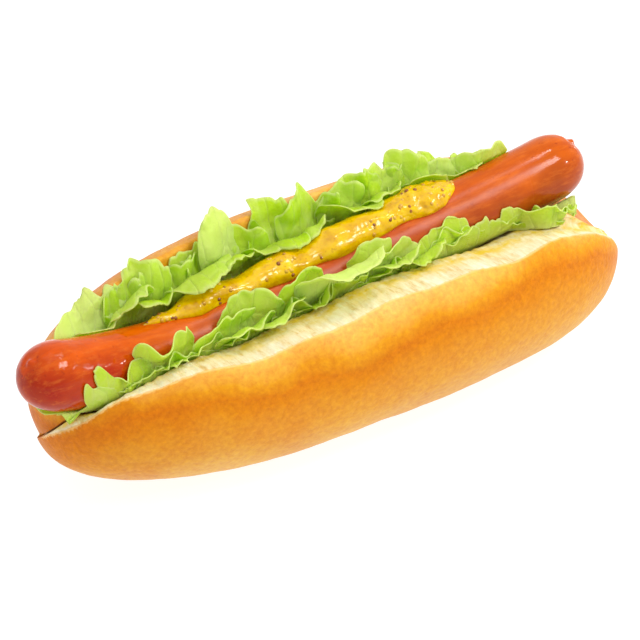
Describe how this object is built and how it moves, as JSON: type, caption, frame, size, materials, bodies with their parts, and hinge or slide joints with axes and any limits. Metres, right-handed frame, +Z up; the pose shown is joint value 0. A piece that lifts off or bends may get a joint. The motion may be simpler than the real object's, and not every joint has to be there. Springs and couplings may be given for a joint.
{
  "type": "hot dog",
  "caption": "Curved sausage on ruffled lettuce in a long soft roll opened along one side, topped with a ribbon of grainy mustard.",
  "frame": {"origin": "middle of the box that holds the hot dog, on the surface that the roll rests on", "axes": "+X along the roll, towards the end where the sausage stands highest; +Y towards the roll's uncut, hinged side; +Z up"},
  "size_m": [0.1861, 0.0686, 0.0644],
  "materials": {
    "bun": "soft baked crust, golden brown, with pale crumb on the cut face",
    "sausage": "moist glossy cooked skin",
    "lettuce": "crisp thin leaf with a soft sheen",
    "mustard": "thick glossy wholegrain mustard"
  },
  "bodies": {
    "root": {"bun": "bun", "sausage": "sausage", "lettuce_back": "lettuce", "lettuce_front": "lettuce", "mustard": "mustard"}
  },
  "joints": []
}
